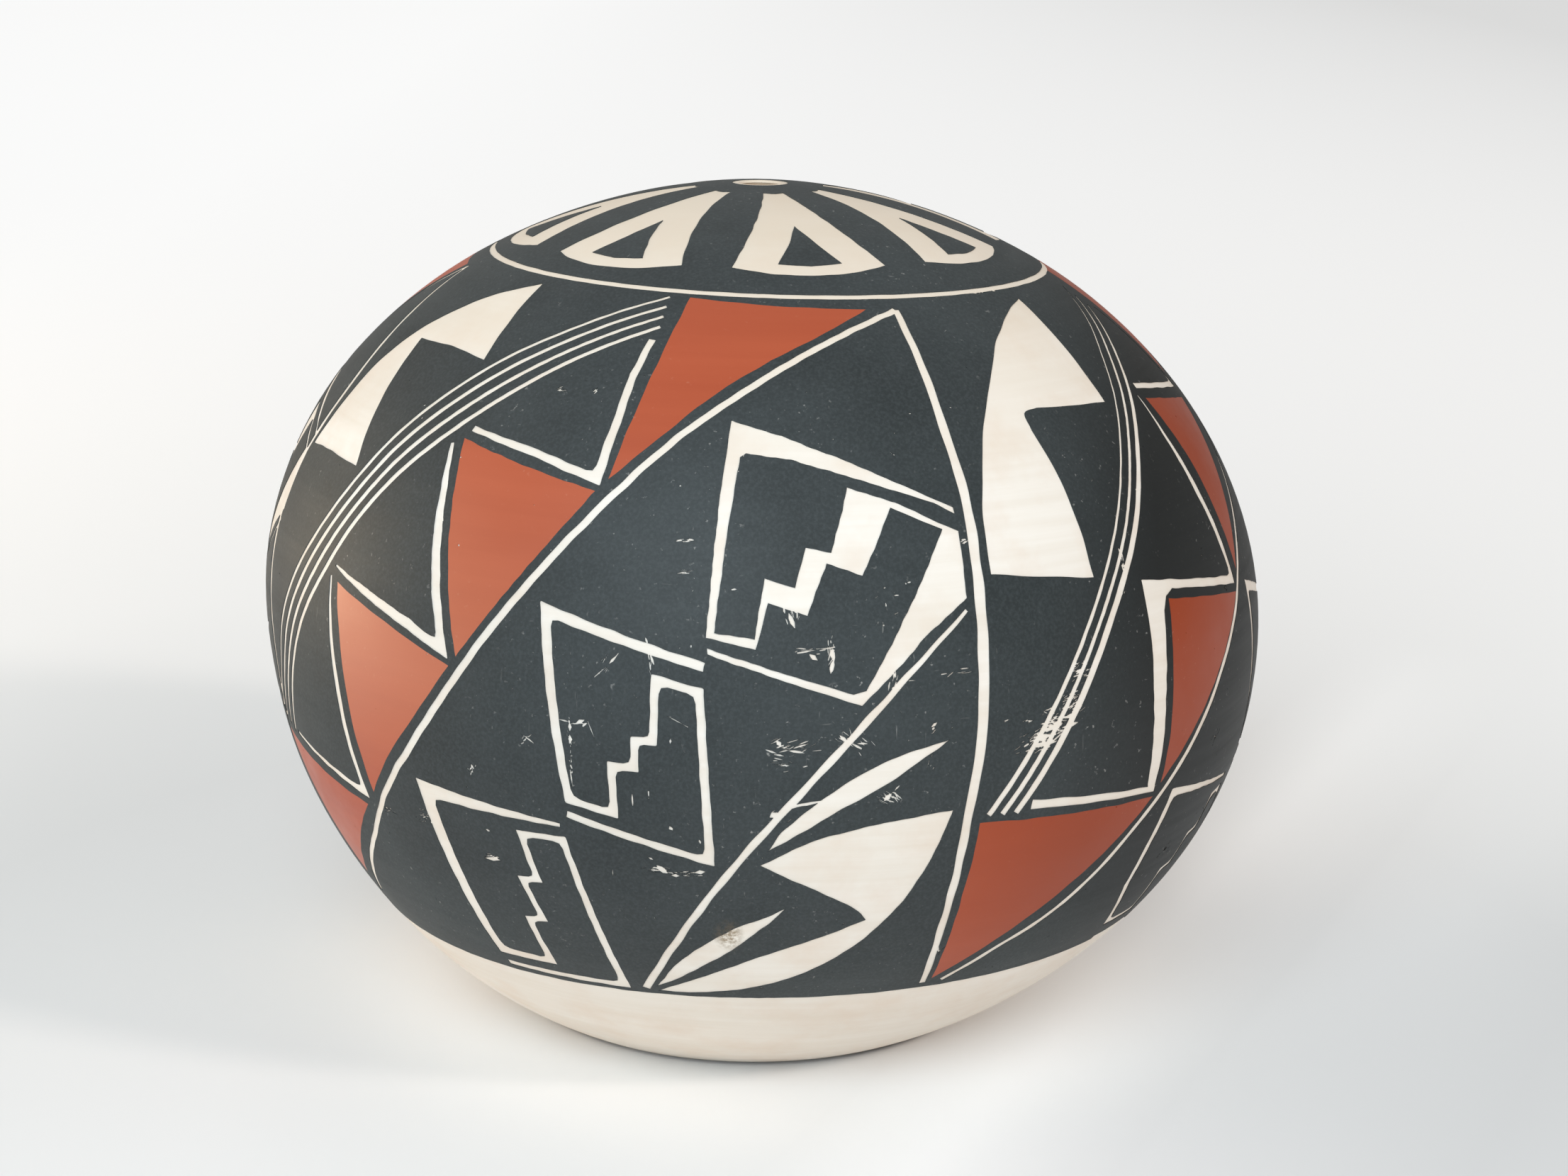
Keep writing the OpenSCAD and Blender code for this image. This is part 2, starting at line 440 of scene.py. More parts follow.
def curved(points):
    """A curve through points: a cubic from each to the next, with slopes from the points on either side."""
    p = np.array(points, float)
    size = np.array([degree_mm(p[:, 1].mean()), 1.0])
    at = np.concatenate(([0.0], np.cumsum(np.hypot(*(np.diff(p, axis=0) * size).T))))
    slope = np.gradient(p, at, axis=0)
    t = np.linspace(0.0, at[-1], max(3, round(at[-1] / EDGE_STEP) + 1))
    k = np.clip(np.searchsorted(at, t, side="right") - 1, 0, len(p) - 2)
    h = (at[k + 1] - at[k])[:, None]
    f = (t - at[k])[:, None] / h
    start = (1.0 + 2.0 * f) * (1.0 - f) ** 2 * p[k] + f * (1.0 - f) ** 2 * h * slope[k]
    return start + f**2 * (3.0 - 2.0 * f) * p[k + 1] - f**2 * (1.0 - f) * h * slope[k + 1]


def patch(*sides):
    """A closed outline of curved sides that meet at corners."""
    return np.concatenate([curved(side)[:-1] for side in sides])


def flat_patch(*corners):
    """A closed outline of straight sides."""
    return stepped([*corners, corners[0]])[:-1]


def line(points, *widths):
    """A brushed line: a curve with half the width, which may vary along it, set off on either side."""
    middle = curved(points)
    size = np.stack((degree_mm(middle[:, 1]), np.ones(len(middle))), axis=-1)
    way = np.gradient(middle, axis=0) * size
    way /= np.hypot(*way.T)[:, None]
    share = np.linspace(0.0, 1.0, len(middle))
    half = 0.5 * np.interp(share, np.linspace(0.0, 1.0, len(widths)), widths)
    aside = np.stack((-way[:, 1], way[:, 0]), axis=-1) * half[:, None] / size
    return np.concatenate((middle + aside, (middle - aside)[::-1]))


def bars(points, *widths):
    """Straight bars end to end, each with its own width at its ends.

    Each edge is set off by half the width. Edges meet where they cross, nearly sharp outside a turn and
    rounded inside it.
    """
    p = np.array(points, float)
    size = np.array([degree_mm(p[:, 1].mean()), 1.0])
    q = p * size
    way = np.diff(q, axis=0) / np.hypot(*np.diff(q, axis=0).T)[:, None]
    aside = np.stack((-way[:, 1], way[:, 0]), axis=-1)
    half = 0.5 * np.interp(np.linspace(0.0, 1.0, len(p)), np.linspace(0.0, 1.0, len(widths)), widths)
    edges = []
    for side in (1.0, -1.0):
        start = q[:-1] + side * aside * half[:-1, None]
        end = q[1:] + side * aside * half[1:, None]
        run = end - start
        gap = start[1:] - start[:-1]
        cross = run[:-1, 0] * run[1:, 1] - run[:-1, 1] * run[1:, 0]
        share = (gap[:, 0] * run[1:, 1] - gap[:, 1] * run[1:, 0]) / cross
        corners = start[:-1] + share[:, None] * run[:-1]
        inside = np.where(side * cross > 0.0, INNER_ROUND, OUTER_ROUND)
        shorter = np.minimum(np.hypot(*run[:-1].T), np.hypot(*run[1:].T))
        bend = np.minimum(inside, ROUND_SHARE * shorter)[:, None]
        before = corners - bend * way[:-1]
        after = corners + bend * way[1:]
        rounded = np.stack((before, (before + 2.0 * corners + after) / 4.0, after), axis=1).reshape(-1, 2)
        edges.append(np.concatenate((start[:1], rounded, end[-1:])))
    return flat_patch(*(np.concatenate((edges[0], edges[1][::-1])) / size))


def shaken(outline, shake):
    """An outline with the small shake of a hand: sine waves of chance length and start along it."""
    size = np.stack((degree_mm(outline[:, 1]), np.ones(len(outline))), axis=-1)
    way = (np.roll(outline, -1, axis=0) - np.roll(outline, 1, axis=0)) * size
    way /= np.maximum(np.hypot(*way.T), 1e-6)[:, None]
    at = np.arange(len(outline)) * EDGE_STEP
    waves = np.zeros(len(outline))
    for length in rng.uniform(*SHAKE_LENGTHS, SHAKE_WAVES):
        waves += np.sin(2.0 * np.pi * at / length + rng.uniform(0.0, 2.0 * np.pi))
    aside = np.stack((-way[:, 1], way[:, 0]), axis=-1) * (shake * SHAKE_SHARE * waves)[:, None]
    return outline + aside / size


def paint(colour, outline, shift=0.0, shake=SHAKE):
    """Lays an outline over what is there, a number of degrees round the design."""
    mark = shaken(outline, shake)
    design = mark[:, 0] + shift
    mark[:, 0] = design * 360.0 / ROUND + BACK_EASE * np.sin(2.0 * np.pi * design / ROUND)
    marks.append((colour, mark))


# Panel of stepped keys and leaves, between a long slanting line and an upright one
LONG_LINE = [
    (-62.5, 49), (-55.6, 62.3), (-49.8, 72.7), (-46.6, 79.7), (-43.3, 86.6), (-39.8, 93.5), (-36.4, 100.8),
    (-33.6, 107.1), (-28.8, 118.3), (-25.7, 125.2), (-21.1, 135.2), (-17.5, 142.5), (-14.4, 148.4),
    (-9.4, 156.8), (-2.6, 165.4), (5.3, 173.3), (15.2, 180.5), (24.9, 185.6),
]
LONG_LINE_ODD = [
    (23.8, 46.3), (30, 54.6), (35, 60.2), (40, 68), (45, 78), (50, 86.8), (55, 95.5), (60, 104.5),
    (65, 112.5), (70, 121), (80, 135), (86, 144.5), (92, 154.5), (98, 166), (104, 178.5), (109.6, 187),
]
UPRIGHT = [
    (21.2, 46), (20.6, 59.6), (20.6, 75), (20.9, 88), (22.1, 102.4), (22.9, 117), (23.5, 132), (24, 145),
    (24, 158.4), (24.3, 167), (24.6, 177), (24.9, 185.6),
]
UPRIGHT_ODD = [
    (21.5, 46), (21.5, 75), (23, 101), (21.8, 112), (20.8, 124), (21.3, 136.6), (22.8, 147), (23.2, 154),
    (22.4, 160), (21, 166), (19, 173), (15.8, 182.5), (14.6, 187),
]
LEAF_LINE = [
    (-14.6, 45), (-10.1, 59.5), (-5.9, 72), (-1.2, 83.9), (3, 92.9), (5.5, 97.9), (9.3, 105), (15.1, 115),
    (21.6, 124.7),
]
LOW_KEY = [
    (-21.3, 84.8), (-38.2, 86.6), (-34.8, 49), (-27, 49.1), (-28, 61.1), (-25.9, 61.6), (-27.3, 71.2),
    (-25.2, 71.7), (-26.2, 81.7), (-21.2, 81.9), (-17.3, 45.2), (-35, 44.9),
]
LOW_KEY_ODD = [
    (-26.6, 77.6), (-44.2, 82.4), (-45.6, 71.5), (-46, 62), (-43.7, 50), (-36.6, 49.8), (-37, 60.5),
    (-34.4, 61), (-33.8, 67.5), (-31.2, 68), (-30.4, 74.8), (-26.8, 75), (-22.6, 45.4), (-43.6, 45),
]
LONG_LINE_W = (1.2, 1.5, 1.4, 1.3)
UPRIGHT_W = (1.3, 1.7, 2.2, 1.8, 1.4)
LEAF_LINE_W = (1.5, 1.4, 1.4, 1.3, 0.7)
LOW_KEY_W = (0.8, 3.0, 2.4, 1.8, 1.4, 1.4, 1.4, 1.4, 1.3, 1.3, 1.8, 1.5)
LOW_KEY_ODD_W = (0.8, 1.8, 1.7, 1.6, 1.5, 1.4, 1.3, 1.2, 1.2, 1.2, 1.2, 1.3, 1.5, 1.4)
MIDDLE_KEY = [
    (-5.6, 116), (-22.3, 123.7), (-20, 90.2), (-15.2, 88.4), (-15.2, 97.6), (-12.8, 97.5), (-12.7, 102.6),
    (-10.8, 102.6), (-10.5, 113.5), (-6.1, 111.7), (-5.6, 80.2), (-20.4, 87.3),
]
MIDDLE_KEY_ODD = np.array(MIDDLE_KEY) + (-1.2, -8.7)
MIDDLE_KEY_W = (1.6, 2.0, 1.6, 1.4, 1.5, 1.4, 1.4, 1.4, 1.5, 1.5, 1.6, 1.4)
HIGH_KEY = [
    (22.2, 142.8), (15, 148.8), (10, 152.7), (3, 157.3), (-3.2, 160.3), (-4.2, 145), (-5.4, 121),
    (-0.5, 119.2), (0.9, 127.1), (4.8, 125), (7.1, 133.9), (10.8, 131.6), (14.8, 143.4), (20.3, 139),
    (10.3, 112), (9, 111.5), (0, 116.4), (-5.3, 119.2), (-5.3, 118.2), (0, 115.2), (9.8, 109.5),
    (13, 114.5), (17, 121), (21.8, 126.8), (22.2, 138.5), (20, 140.3), (15.5, 144.3), (10.2, 147.3),
    (7.7, 135.7), (5, 136.7), (3.7, 129.7), (0.6, 131.3), (-0.6, 121), (-4.6, 121.8), (-3.2, 140),
    (-2, 153), (-1.3, 153.8), (4, 152.6), (8.5, 150.4), (14, 147.4), (20, 143.8), (22.2, 141.6),
]
SLIM_LEAF = patch(
    [(0.3, 82.7), (1.4, 85.9), (5, 91.9), (7.5, 95.2), (12.5, 99.8), (18.7, 102.7)],
    [(18.7, 102.7), (15, 98.6), (12, 95.2), (7, 90.3), (5, 88), (0.3, 82.7)],
)
FORKED_LEAF = patch(
    [(19.2, 89.5), (14, 88.5), (9, 86.9), (5, 84.9), (-0.5, 79.7)],
    [(-0.5, 79.7), (3, 76.3), (7, 72.5), (10.2, 68.7), (11.2, 66.6)],
    [(11.2, 66.6), (5, 61.5), (0, 57.5), (-5, 52.6), (-13.1, 44.6)],
    [
        (-13.1, 44.6), (-8, 45), (-3, 46.6), (0, 48.1), (5, 52.2), (10.1, 59.2), (14.8, 70), (18, 83),
        (19.2, 89.5),
    ],
)
SMALL_LEAF = patch(
    [(-13, 46.2), (-9.6, 55), (-6, 61), (-3, 65), (0, 67.6), (2.3, 70)],
    [(2.3, 70), (0.6, 66.3), (-1.5, 62.5), (-4, 58), (-7, 53.8), (-10, 49.5), (-13, 46.2)],
)

# Panel of red teeth, white angles, fine lines and a forked tail: one with four fine lines, one with three
FOUR_TEETH = [
    flat_patch(
        (-12.6, 189.1), (3, 187.3), (19.3, 186), (10, 179.5), (2, 173.5), (-4.1, 167.5), (-7.7, 162.8),
        (-11.8, 156.4), (-17.2, 147.6),
    ),
    flat_patch((-38.3, 151.8), (-18.5, 145.2), (-32.6, 113), (-33.6, 119.5), (-34.5, 126.3), (-36.7, 142)),
    flat_patch(
        (-52, 120.3), (-43, 116.2), (-33.5, 111.1), (-38.1, 100.9), (-43.7, 90), (-47.5, 81.7), (-48.7, 92.2),
        (-50.2, 106.8),
    ),
    flat_patch((-72, 83.2), (-49.6, 78), (-52.2, 73.7), (-55, 68.5), (-60.9, 57.5), (-63, 54)),
]
FOUR_ANGLES = [
    bars(
        [(-16.5, 177.5), (-17.5, 169), (-17.8, 159), (-18.6, 147.4), (-27.4, 151.2), (-37.7, 154)],
        1.6, 1.6, 1.6, 1.7, 1.5, 1.1,
    ),
    bars(
        [
            (-39.9, 150.6), (-38.5, 143), (-37.3, 134), (-36, 124), (-34.4, 113.6), (-39.7, 117),
            (-46.2, 120.1), (-53, 123.1),
        ],
        0.9, 1.6, 2.1, 2.1, 1.8, 2.0, 1.6, 0.5,
    ),
    bars(
        [
            (-53.6, 121), (-52.5, 110), (-51.4, 100.7), (-50.6, 91.3), (-49.4, 80.4), (-57.4, 82.6),
            (-66.5, 84.9),
        ],
        0.7, 1.3, 1.6, 1.6, 1.6, 1.2, 0.9,
    ),
]
FOUR_FIRST = [
    (-16.5, 189), (-23.8, 184.4), (-31.6, 177.7), (-38.7, 170.1), (-44.8, 160.8), (-50.4, 149.6),
    (-54.4, 139.2), (-58.4, 129), (-62.8, 118.2), (-66.4, 108), (-69.3, 96.8), (-74, 86),
]
FOUR_LAST = [
    (-16, 180.8), (-21.2, 177), (-28.4, 170.3), (-34.8, 162.2), (-40.8, 153), (-46.8, 142.3), (-49.3, 136.8),
    (-51.7, 131), (-55.2, 121.6), (-59.2, 111.8), (-63.4, 99.5), (-68.2, 84.2),
]
FOUR_W = ((0.7, 1.0, 1.2), (0.8, 1.2, 1.2), (0.8, 1.2, 1.2), (0.9, 1.2, 1.2))
FOUR_TAIL = patch(
    [
        (-45.5, 189), (-50, 186.5), (-55, 183.3), (-60, 178), (-65, 170.8), (-68, 163), (-70, 149.5),
        (-71.7, 141.3),
    ],
    [(-71.7, 141.3), (-66, 142), (-55.6, 141.5)],
    [(-55.6, 141.5), (-58, 152), (-61.5, 169.3)],
    [(-61.5, 169.3), (-50, 169.5), (-43, 168.2)],
    [(-43, 168.2), (-45.5, 189)],
)
THREE_TEETH = [
    flat_patch((85, 188.5), (107, 187), (96, 168), (85, 156.5)),
    flat_patch((64.6, 156.3), (82, 151.3), (68, 119.5), (67.6, 126), (67, 134), (66.4, 142), (65.3, 150)),
    flat_patch((49.4, 120.3), (66.2, 115.8), (47.4, 86), (47.9, 96), (48.4, 107)),
    flat_patch(
        (22.3, 86.3), (46.5, 83.6), (40.5, 73.6), (35, 65.4), (29, 57), (22.2, 47.5), (22, 55), (21.9, 70),
    ),
]
THREE_ANGLES = [
    bars([(81.6, 176), (82.6, 165), (82.8, 154.4), (64.2, 159.4)], 0.9, 1.1, 1.3, 1.3),
    bars(
        [(62.9, 157.4), (62.8, 149), (63.3, 142.8), (63.9, 136), (64.9, 129), (65.9, 118.3), (45.4, 124.2)],
        0.5, 1.4, 1.9, 2.1, 2.0, 1.6, 1.6,
    ),
    flat_patch(
        (45.3, 125), (45.2, 113), (44.8, 105), (44.8, 96), (44.9, 86.8), (45.2, 85.2), (46.4, 85.1),
        (46.8, 92.4), (47, 102.6), (47.7, 112.2), (48.3, 118.5), (49.1, 120.9), (50.9, 122.1), (49, 123.2),
    ),
    bars([(46.5, 85.2), (28.2, 88.5)], 1.3, 1.9),
]
THREE_FIRST = [
    (79, 183.4), (70, 175), (62.5, 167.5), (56.5, 158.7), (51.5, 150.5), (43.8, 135.6), (37.3, 121.7),
    (31.5, 108), (25.7, 93.8), (23.2, 87.6),
]
THREE_LAST = [
    (79, 177.4), (73, 172), (67.3, 166.3), (60.6, 157.6), (55.1, 149.6), (47.1, 134.7), (40.2, 121),
    (34.4, 107.2), (28.7, 93), (26.4, 87.3),
]
THREE_W = ((0.5, 0.5, 0.6, 0.9, 1.2), (0.6, 0.8, 0.8, 0.9, 1.2), (0.6, 1.0, 1.4, 1.5, 1.3))
THREE_TAIL = patch(
    [
        (55.4, 184.7), (49.6, 182.5), (44.6, 179.2), (39.6, 174.7), (35.7, 169), (32, 162.5), (29, 155.5),
        (27, 148), (25.6, 141), (25, 130.4),
    ],
    [(25, 130.4), (38.2, 127.3)],
    [(38.2, 127.3), (37.6, 147), (36.8, 155.5)],
    [(36.8, 155.5), (37, 159.2), (39.5, 159.8)],
    [(39.5, 159.8), (53.4, 158.3)],
    [(53.4, 158.3), (54, 167), (55.4, 184.7)],
)


def paint_keys(shift, long_line, long_shift, upright, low_key, low_widths, middle_key):
    """One panel of keys and leaves with its two border lines."""
    paint(BARE, line(long_line, *LONG_LINE_W), long_shift)
    paint(BARE, line(upright, *UPRIGHT_W), shift)
    paint(BARE, line(LEAF_LINE, *LEAF_LINE_W), shift)
    paint(BARE, bars(low_key, *low_widths), shift)
    paint(BARE, bars(middle_key, *MIDDLE_KEY_W), shift)
    paint(BARE, flat_patch(*HIGH_KEY), shift)
    for leaf in (SLIM_LEAF, FORKED_LEAF, SMALL_LEAF):
        paint(BARE, leaf, shift)


def paint_teeth(shift, teeth, angles, first, last, widths, tail):
    """One panel of red teeth, white angles, fine lines evenly between the first and the last, and a tail."""
    for tooth in teeth:
        paint(RED, tooth, shift)
    for angle in angles:
        paint(BARE, angle, shift)
    for k, width in enumerate(widths):
        share = k / (len(widths) - 1)
        middle = (1.0 - share) * np.array(first) + share * np.array(last)
        paint(BARE, line(middle, *width), shift, FINE_SHAKE)
    paint(BARE, tail, shift)


def ring_outline(along):
    """A closed line right round the pot, at a distance along the wall for each degree of the design."""
    degrees = np.arange(0.0, ROUND, 1.0)
    return np.stack((degrees, along(np.radians(degrees * 360.0 / ROUND))), axis=-1)


paint(BLACK, ring_outline(lambda turn: LOW_EDGE + LOW_WAVE * np.sin(2.0 * turn + LOW_WAVE_START)))
for repeat in range(-1, REPEATS - 1):
    here = repeat * REPEAT
    before = here - REPEAT
    if repeat % 2 == 0:
        paint_keys(here, LONG_LINE, here, UPRIGHT, LOW_KEY, LOW_KEY_W, MIDDLE_KEY)
        paint_teeth(here, FOUR_TEETH, FOUR_ANGLES, FOUR_FIRST, FOUR_LAST, FOUR_W, FOUR_TAIL)
    else:
        paint_keys(here, LONG_LINE_ODD, before, UPRIGHT_ODD, LOW_KEY_ODD, LOW_KEY_ODD_W, MIDDLE_KEY_ODD)
        paint_teeth(before, THREE_TEETH, THREE_ANGLES, THREE_FIRST, THREE_LAST, THREE_W, THREE_TAIL)

# Crown: a white ring line, eight white rays with a black tooth in each, and a white ring at the hole.
# The rays bow outwards a little at their wide end, and the teeth point to the hole.
RING_AT = 190.3
RING_TILT = 2.3
RING_W = 1.3
RAYS = 8
RAY_START = 12.0
RAY_OUT = 196.5
RAY_IN = 235.0
RAY_WIDE = 18.0
RAY_NARROW = 9.0
RAY_BOW = 0.6
RAY_CORNER = RAY_OUT + 2.5
TOOTH_HALF = 7.5
TOOTH_CORNER = RAY_OUT + 4.0
TOOTH_MIDDLE = RAY_OUT + 3.2
TOOTH_TIP = RAY_OUT + 19.0
HOLE_RING = 2.0
HOLE_SHAKE = 0.02


def ring_middle(turn):
    """The ring line's distance along the wall: it was drawn a little askew."""
    return RING_AT - RING_TILT * np.sin(turn)


paint(BARE, ring_outline(lambda turn: ring_middle(turn) - RING_W / 2.0), shake=FINE_SHAKE)
paint(BLACK, ring_outline(lambda turn: ring_middle(turn) + RING_W / 2.0), shake=FINE_SHAKE)
RAY = patch(
    [
        (-RAY_WIDE, RAY_CORNER), (-RAY_WIDE / 2.0, RAY_OUT + RAY_BOW), (0, RAY_OUT),
        (RAY_WIDE / 2.0, RAY_OUT + RAY_BOW), (RAY_WIDE, RAY_CORNER),
    ],
    [(RAY_WIDE, RAY_CORNER), (RAY_NARROW, RAY_IN)],
    [(RAY_NARROW, RAY_IN), (0, RAY_IN - RAY_BOW), (-RAY_NARROW, RAY_IN)],
    [(-RAY_NARROW, RAY_IN), (-RAY_WIDE, RAY_CORNER)],
)
TOOTH = flat_patch(
    (-TOOTH_HALF, TOOTH_CORNER), (0, TOOTH_MIDDLE), (TOOTH_HALF, TOOTH_CORNER), (0, TOOTH_TIP)
)
for k in range(RAYS):
    paint(BARE, RAY, RAY_START + k * ROUND / RAYS)
    paint(BLACK, TOOTH, RAY_START + k * ROUND / RAYS)
paint(BARE, ring_outline(lambda turn: np.full(len(turn), WALL_LENGTH - HOLE_RING)), shake=HOLE_SHAKE)

# Wear: scuffs where the paint has rubbed through to the slip, loose flecks all over, and single scratches.
# A scuff is a cluster of short strokes that lie much the same way. It holds its place, its spread both
# ways, its number of strokes, their slant and their length. A scratch holds its two ends and its width.
SCUFFS = [
    (3, 125, 0.4, 1.5, 14, 110, 1.6), (7, 118, 0.2, 1.6, 18, 92, 1.9), (5, 119, 0.8, 0.4, 9, 5, 1.6),
    (13.5, 126, 2, 2, 5, 20, 1), (2.4, 102.7, 1, 0.6, 24, 15, 2), (2, 99.4, 0.9, 0.7, 12, 3, 2.2),
    (8.5, 103.4, 0.8, 0.8, 16, 140, 1.9), (12.4, 93, 0.5, 0.5, 20, 145, 2), (17, 105, 0.3, 0.4, 5, 30, 1),
    (16.6, 98.4, 0.2, 0.8, 5, 70, 1.1), (18.4, 114.2, 1.8, 0.4, 7, 2, 2.4),
    (13, 113.6, 0.4, 0.9, 9, 60, 1.3), (1.5, 90, 0.6, 0.6, 12, 60, 1.2), (25, 105, 0.3, 0.2, 4, 0, 1.1),
    (27.6, 104.2, 0.6, 0.2, 6, 0, 1.3), (-19.4, 98.7, 0.06, 3.4, 26, 90, 0.8),
    (-18.6, 104.6, 0.8, 0.2, 8, 5, 1.3), (-15.4, 115.3, 0.5, 1.2, 8, 60, 1),
    (-11, 117.4, 0.1, 1.6, 7, 100, 1.9), (-24.3, 100.4, 0.4, 0.4, 6, 20, 1.1),
    (-31, 92.8, 0.3, 0.7, 9, 70, 1), (-30.3, 74.8, 0.4, 0.3, 22, 10, 1.9),
    (-11, 77.8, 0.5, 0.35, 26, 5, 1.6), (-8.2, 77.4, 0.8, 0.2, 20, 3, 1.8),
    (-39.2, 80, 0.7, 0.8, 20, 20, 1.4), (-45.5, 79, 0.5, 0.4, 10, 10, 1.7),
    (-7.5, 137.5, 0.7, 0.1, 6, 5, 1.8), (-7.7, 132, 0.6, 0.2, 5, 5, 1.3),
    (-27.2, 164.3, 0.3, 0.25, 9, 10, 1.4), (-22.1, 164.9, 0.15, 0.4, 8, 60, 1.3),
    (43, 128.6, 0.2, 1.1, 18, 80, 1.6), (42, 123.5, 0.2, 0.4, 6, 40, 1),
    (34.2, 111.6, 0.6, 1.4, 30, 20, 1.6), (28.6, 100.4, 0.9, 0.9, 80, 20, 2.2),
    (30.8, 103, 0.9, 1, 80, 15, 2.2), (33, 106, 0.6, 1.3, 60, 25, 1.9), (59, 90, 0.7, 0.7, 12, 40, 1.1),
    (63, 117.8, 0.4, 0.4, 8, 30, 1.1), (55.3, 67.6, 0.7, 0.7, 12, 40, 1.1),
    (46.5, 188.4, 2.2, 0.4, 24, 5, 1.7), (22.6, 136.4, 0.3, 0.3, 7, 20, 1.2),
    (21.5, 56.2, 0.4, 0.7, 8, 70, 1.1),
]
SCRATCHES = [
    ((3, 125.5), (3.5, 122.9), 0.9), ((2.5, 126.3), (2.6, 125.3), 0.3), ((3.6, 118.7), (5.5, 119.3), 0.3),
    ((5.5, 119.3), (7.4, 119.7), 0.35), ((4.8, 118.4), (5.6, 117.4), 0.9),
    ((7.1, 119.4), (7.2, 117), 0.9), ((7.2, 117.6), (6.8, 115), 1.1), ((12.9, 126.8), (12.9, 126), 0.3),
    ((12.7, 113.6), (12.5, 111.8), 0.45), ((13.2, 115), (13.1, 114), 0.4),
    ((-14.2, 117.5), (-15.2, 115.5), 0.35), ((-15.5, 115), (-16.7, 113), 0.25),
    ((-11.5, 120.5), (-11.3, 119.6), 0.25), ((-11, 117.7), (-10.6, 116), 0.4),
    ((-20.5, 104.9), (-19.3, 104.7), 0.4), ((-19.4, 104.7), (-19.4, 103), 0.8),
    ((-19.4, 102.3), (-19.4, 100.9), 0.8), ((-18.7, 104.4), (-17.7, 105.4), 0.7),
    ((-17.4, 105.2), (-16.8, 102.2), 0.25), ((-9.3, 107.3), (-7.3, 105.6), 0.22),
    ((-9.1, 103.4), (-9.1, 102.4), 0.5), ((-24.9, 101.3), (-23.4, 99.9), 0.25),
    ((-8, 137.2), (-7, 137.5), 0.35), ((-8.4, 131.6), (-7.3, 132.1), 0.3),
    ((-2.8, 129.2), (-2.2, 129.3), 0.35), ((-13.2, 92.7), (-13.2, 90.4), 0.35),
    ((-11.5, 93.5), (-11.5, 92), 0.3), ((-19.6, 96), (-19.4, 92.7), 0.3),
    ((-9.6, 86.4), (-9.2, 86.8), 0.9), ((-6.6, 84.7), (-6.5, 83.8), 0.6), ((-11.2, 78.6), (-10, 77), 1.5),
    ((-9.7, 76.7), (-8.8, 76.7), 0.8), ((-7.3, 77.6), (-6, 78), 1.0), ((-12, 80.2), (-11.5, 79.8), 0.5),
    ((-16, 76.8), (-16.1, 75.2), 0.35), ((-31.7, 74.3), (-29.6, 74.6), 1.0),
    ((0.5, 89.5), (1.3, 90.4), 1.2), ((-30.6, 80.9), (-30.1, 80.8), 0.5), ((-31.2, 94), (-30.8, 93), 0.6),
    ((27.4, 99.4), (30.8, 99.8), 1.0), ((27.8, 100.6), (30.4, 101.1), 1.3),
    ((28.9, 102.1), (31.7, 102.7), 1.0), ((31.5, 102.1), (33.7, 102.5), 0.9),
    ((31.7, 103.8), (33.6, 104.2), 0.8), ((33.7, 111.2), (35, 112.2), 0.7),
    ((1.3, 103.7), (1.7, 102.6), 0.9), ((0.2, 102), (1.4, 101.3), 0.5), ((1, 101.2), (2.1, 100.8), 0.4),
    ((2.4, 101.9), (4, 101.4), 0.5), ((7.5, 104.6), (8.2, 103.3), 0.6), ((8.4, 103.3), (9.6, 102), 0.5),
    ((9.2, 103), (10.2, 102.8), 0.4), ((11.8, 92.2), (12.6, 93.6), 1.1), ((12.9, 94), (13.4, 94.9), 0.3),
    ((16.8, 105.1), (17.4, 105.9), 0.5), ((20.6, 58.4), (21.4, 55.9), 0.8),
]
SCRATCH_TIP = 0.1
SCRATCH_SHAKE = 0.08
FLECK_LENGTHS = (0.4, 1.5)
FLECK_WIDTHS = (2.0, 0.07)
FLECK_LEAST_W = 0.1
FLECK_SIDES = 6
FLECK_REACH = (0.6, 1.0)
FLECK_TURN = 14.0
LOOSE_FLECKS = 420
LOOSE_LENGTHS = (1.5, 0.2)
LOOSE_LEAST = 0.15
LOOSE_FROM = LOW_EDGE + 3.0


def fleck(degrees, along, length, slant):
    """A thin sliver at a slant from level, in degrees, with chance in its length, width and slant."""
    length *= rng.uniform(*FLECK_LENGTHS)
    width = min(length, rng.gamma(*FLECK_WIDTHS) + FLECK_LEAST_W)
    corner = np.arange(FLECK_SIDES) * np.pi / (FLECK_SIDES / 2.0)
    reach = rng.uniform(*FLECK_REACH, FLECK_SIDES)
    away = reach * (np.cos(corner) * length + 1j * np.sin(corner) * width) / 2.0
    away = away * np.exp(1j * np.radians(slant + rng.normal(0.0, FLECK_TURN)))
    return np.stack((degrees + away.real / degree_mm(along), along + away.imag), axis=-1)


paint(BARE, line([(2.2, 91.2), (3.6, 91.9), (5.6, 92.6)], 0.4, 0.7, 0.3))
for degrees, along, degrees_spread, along_spread, count, slant, length in SCUFFS:
    for _ in range(count):
        stroke = fleck(rng.normal(degrees, degrees_spread), rng.normal(along, along_spread), length, slant)
        paint(BARE, stroke, shake=0.0)
for _ in range(LOOSE_FLECKS):
    place = rng.uniform(0.0, ROUND), rng.uniform(LOOSE_FROM, RING_AT)
    stroke = fleck(*place, rng.gamma(*LOOSE_LENGTHS) + LOOSE_LEAST, rng.uniform(0.0, 180.0))
    paint(BARE, stroke, shake=0.0)
for start, end, width in SCRATCHES:
    paint(BARE, line([start, end], SCRATCH_TIP, width, SCRATCH_TIP), shake=SCRATCH_SHAKE)

